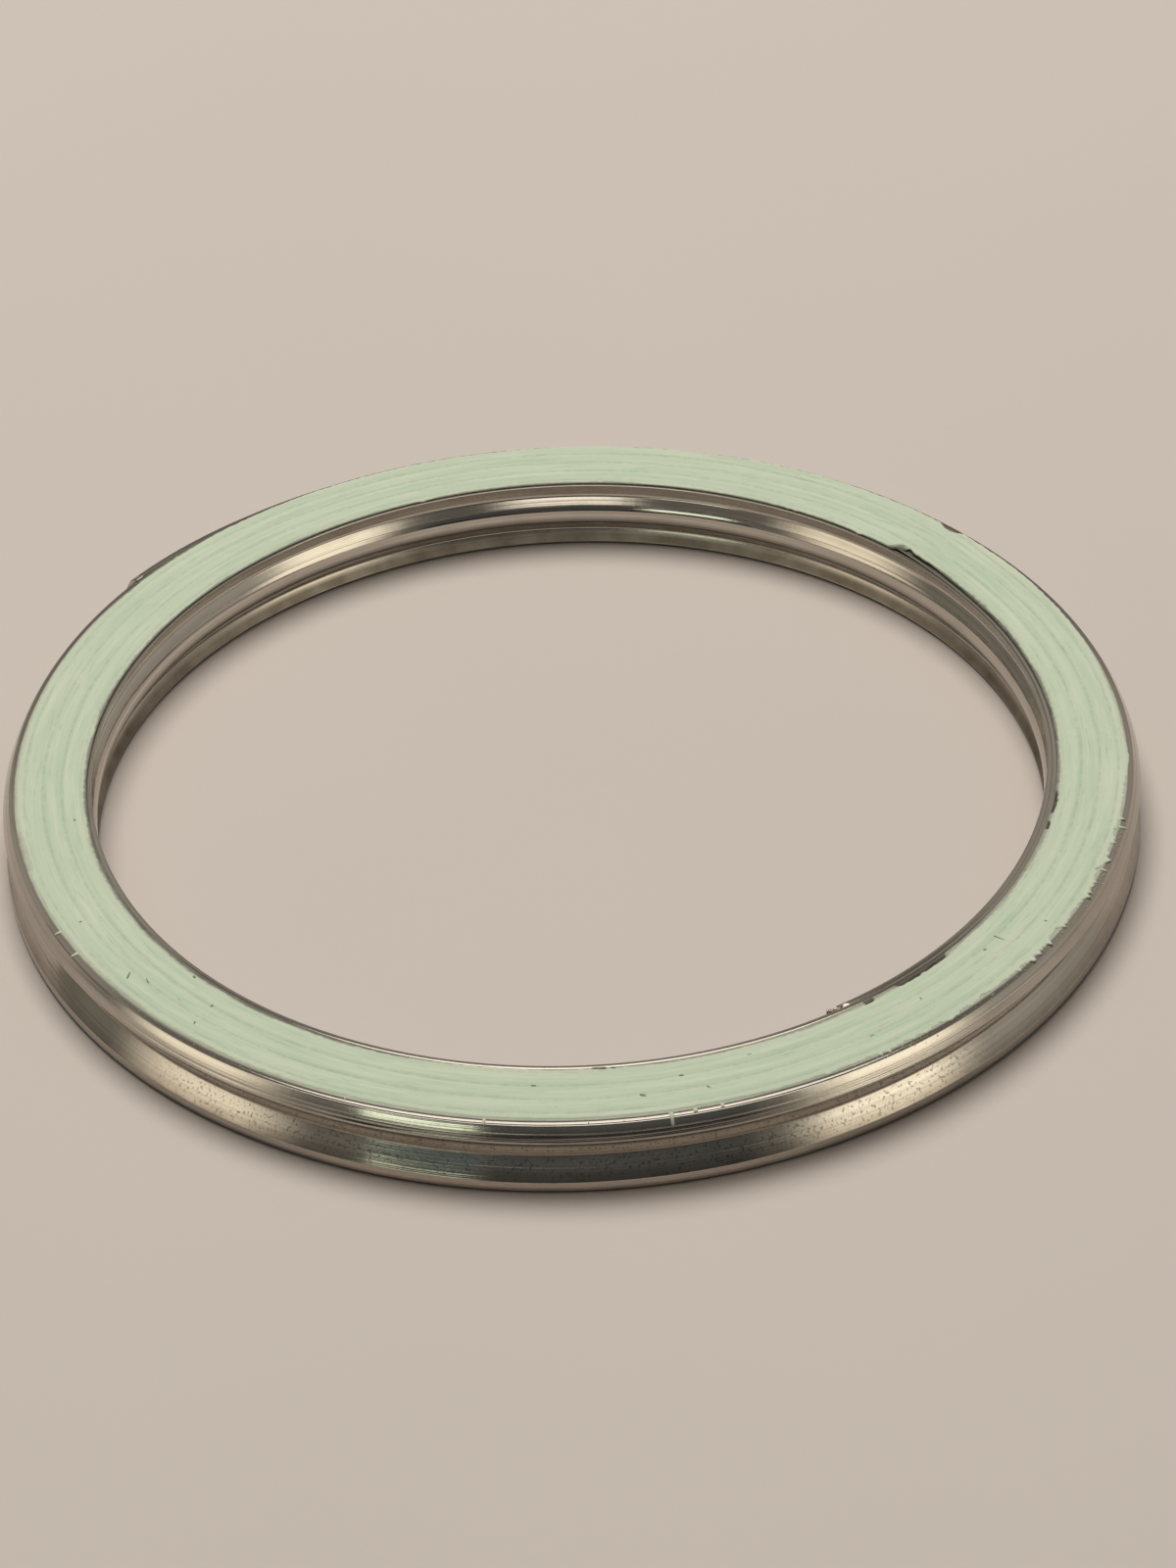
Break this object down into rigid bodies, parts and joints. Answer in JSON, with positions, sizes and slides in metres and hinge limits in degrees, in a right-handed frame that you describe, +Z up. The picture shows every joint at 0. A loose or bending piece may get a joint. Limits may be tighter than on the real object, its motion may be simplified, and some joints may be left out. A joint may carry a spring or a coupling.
{
  "type": "exhaust gasket",
  "caption": "Flat spiral-wound exhaust gasket ring: a waisted steel strip wound with a soft filler, both faces under a matte grey-green coat.",
  "frame": {"origin": "on the ring's axis, in the plane of its lower face", "axes": "+Z up along the ring's axis; the strip's inner end lies at 60 degrees clockwise of +X seen from above"},
  "size_m": [0.0618, 0.0618, 0.0042],
  "materials": {
    "steel": "rolled strip, dull with fine lines",
    "filler": "matte mineral tape",
    "coat": "matte sprayed coat"
  },
  "bodies": {
    "root": {"steel_strip": "steel", "filler_strip": "filler", "top_coating": "coat", "bottom_coating": "coat"}
  },
  "joints": []
}
